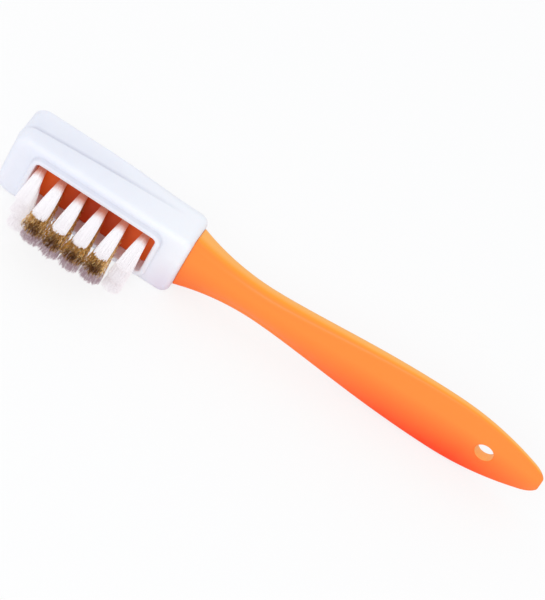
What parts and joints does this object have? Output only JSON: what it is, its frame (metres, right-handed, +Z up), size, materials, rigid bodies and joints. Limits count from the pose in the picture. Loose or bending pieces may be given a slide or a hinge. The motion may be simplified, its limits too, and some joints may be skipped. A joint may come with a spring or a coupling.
{
  "type": "suede brush",
  "caption": "Suede brush with a slim moulded handle, nylon and brass tufts standing in a windowed rubber boot, and rubber nubs on the back of its head.",
  "frame": {"origin": "on the surface that the brush lies on, under the middle of its bounding box", "axes": "+X along the handle, away from the head; the bristles point to -Y; +Z up, out of the side that is uppermost when the brush lies on its side"},
  "size_m": [0.1898, 0.0392, 0.0242],
  "materials": {
    "handle_plastic": "satin orange moulding",
    "boot_rubber": "matte white soft rubber",
    "nylon": "white nylon filament",
    "brass_wire": "crimped brass wire",
    "anchor_metal": "plated steel strip"
  },
  "bodies": {
    "root": {"handle": "handle_plastic", "rubber_boot": "boot_rubber", "tuft_anchors": "anchor_metal", "nylon_tuft_row1_1": "nylon", "nylon_tuft_row1_2": "nylon", "nylon_tuft_row1_3": "nylon", "nylon_tuft_row1_4": "nylon", "nylon_tuft_row1_5": "nylon", "nylon_tuft_row1_6": "nylon", "nylon_tuft_row2_1": "nylon", "brass_tuft_row2_2": "brass_wire", "brass_tuft_row2_3": "brass_wire", "brass_tuft_row2_4": "brass_wire", "brass_tuft_row2_5": "brass_wire", "nylon_tuft_row2_6": "nylon", "nylon_tuft_row3_1": "nylon", "nylon_tuft_row3_2": "nylon", "nylon_tuft_row3_3": "nylon", "nylon_tuft_row3_4": "nylon", "nylon_tuft_row3_5": "nylon", "nylon_tuft_row3_6": "nylon"}
  },
  "joints": []
}
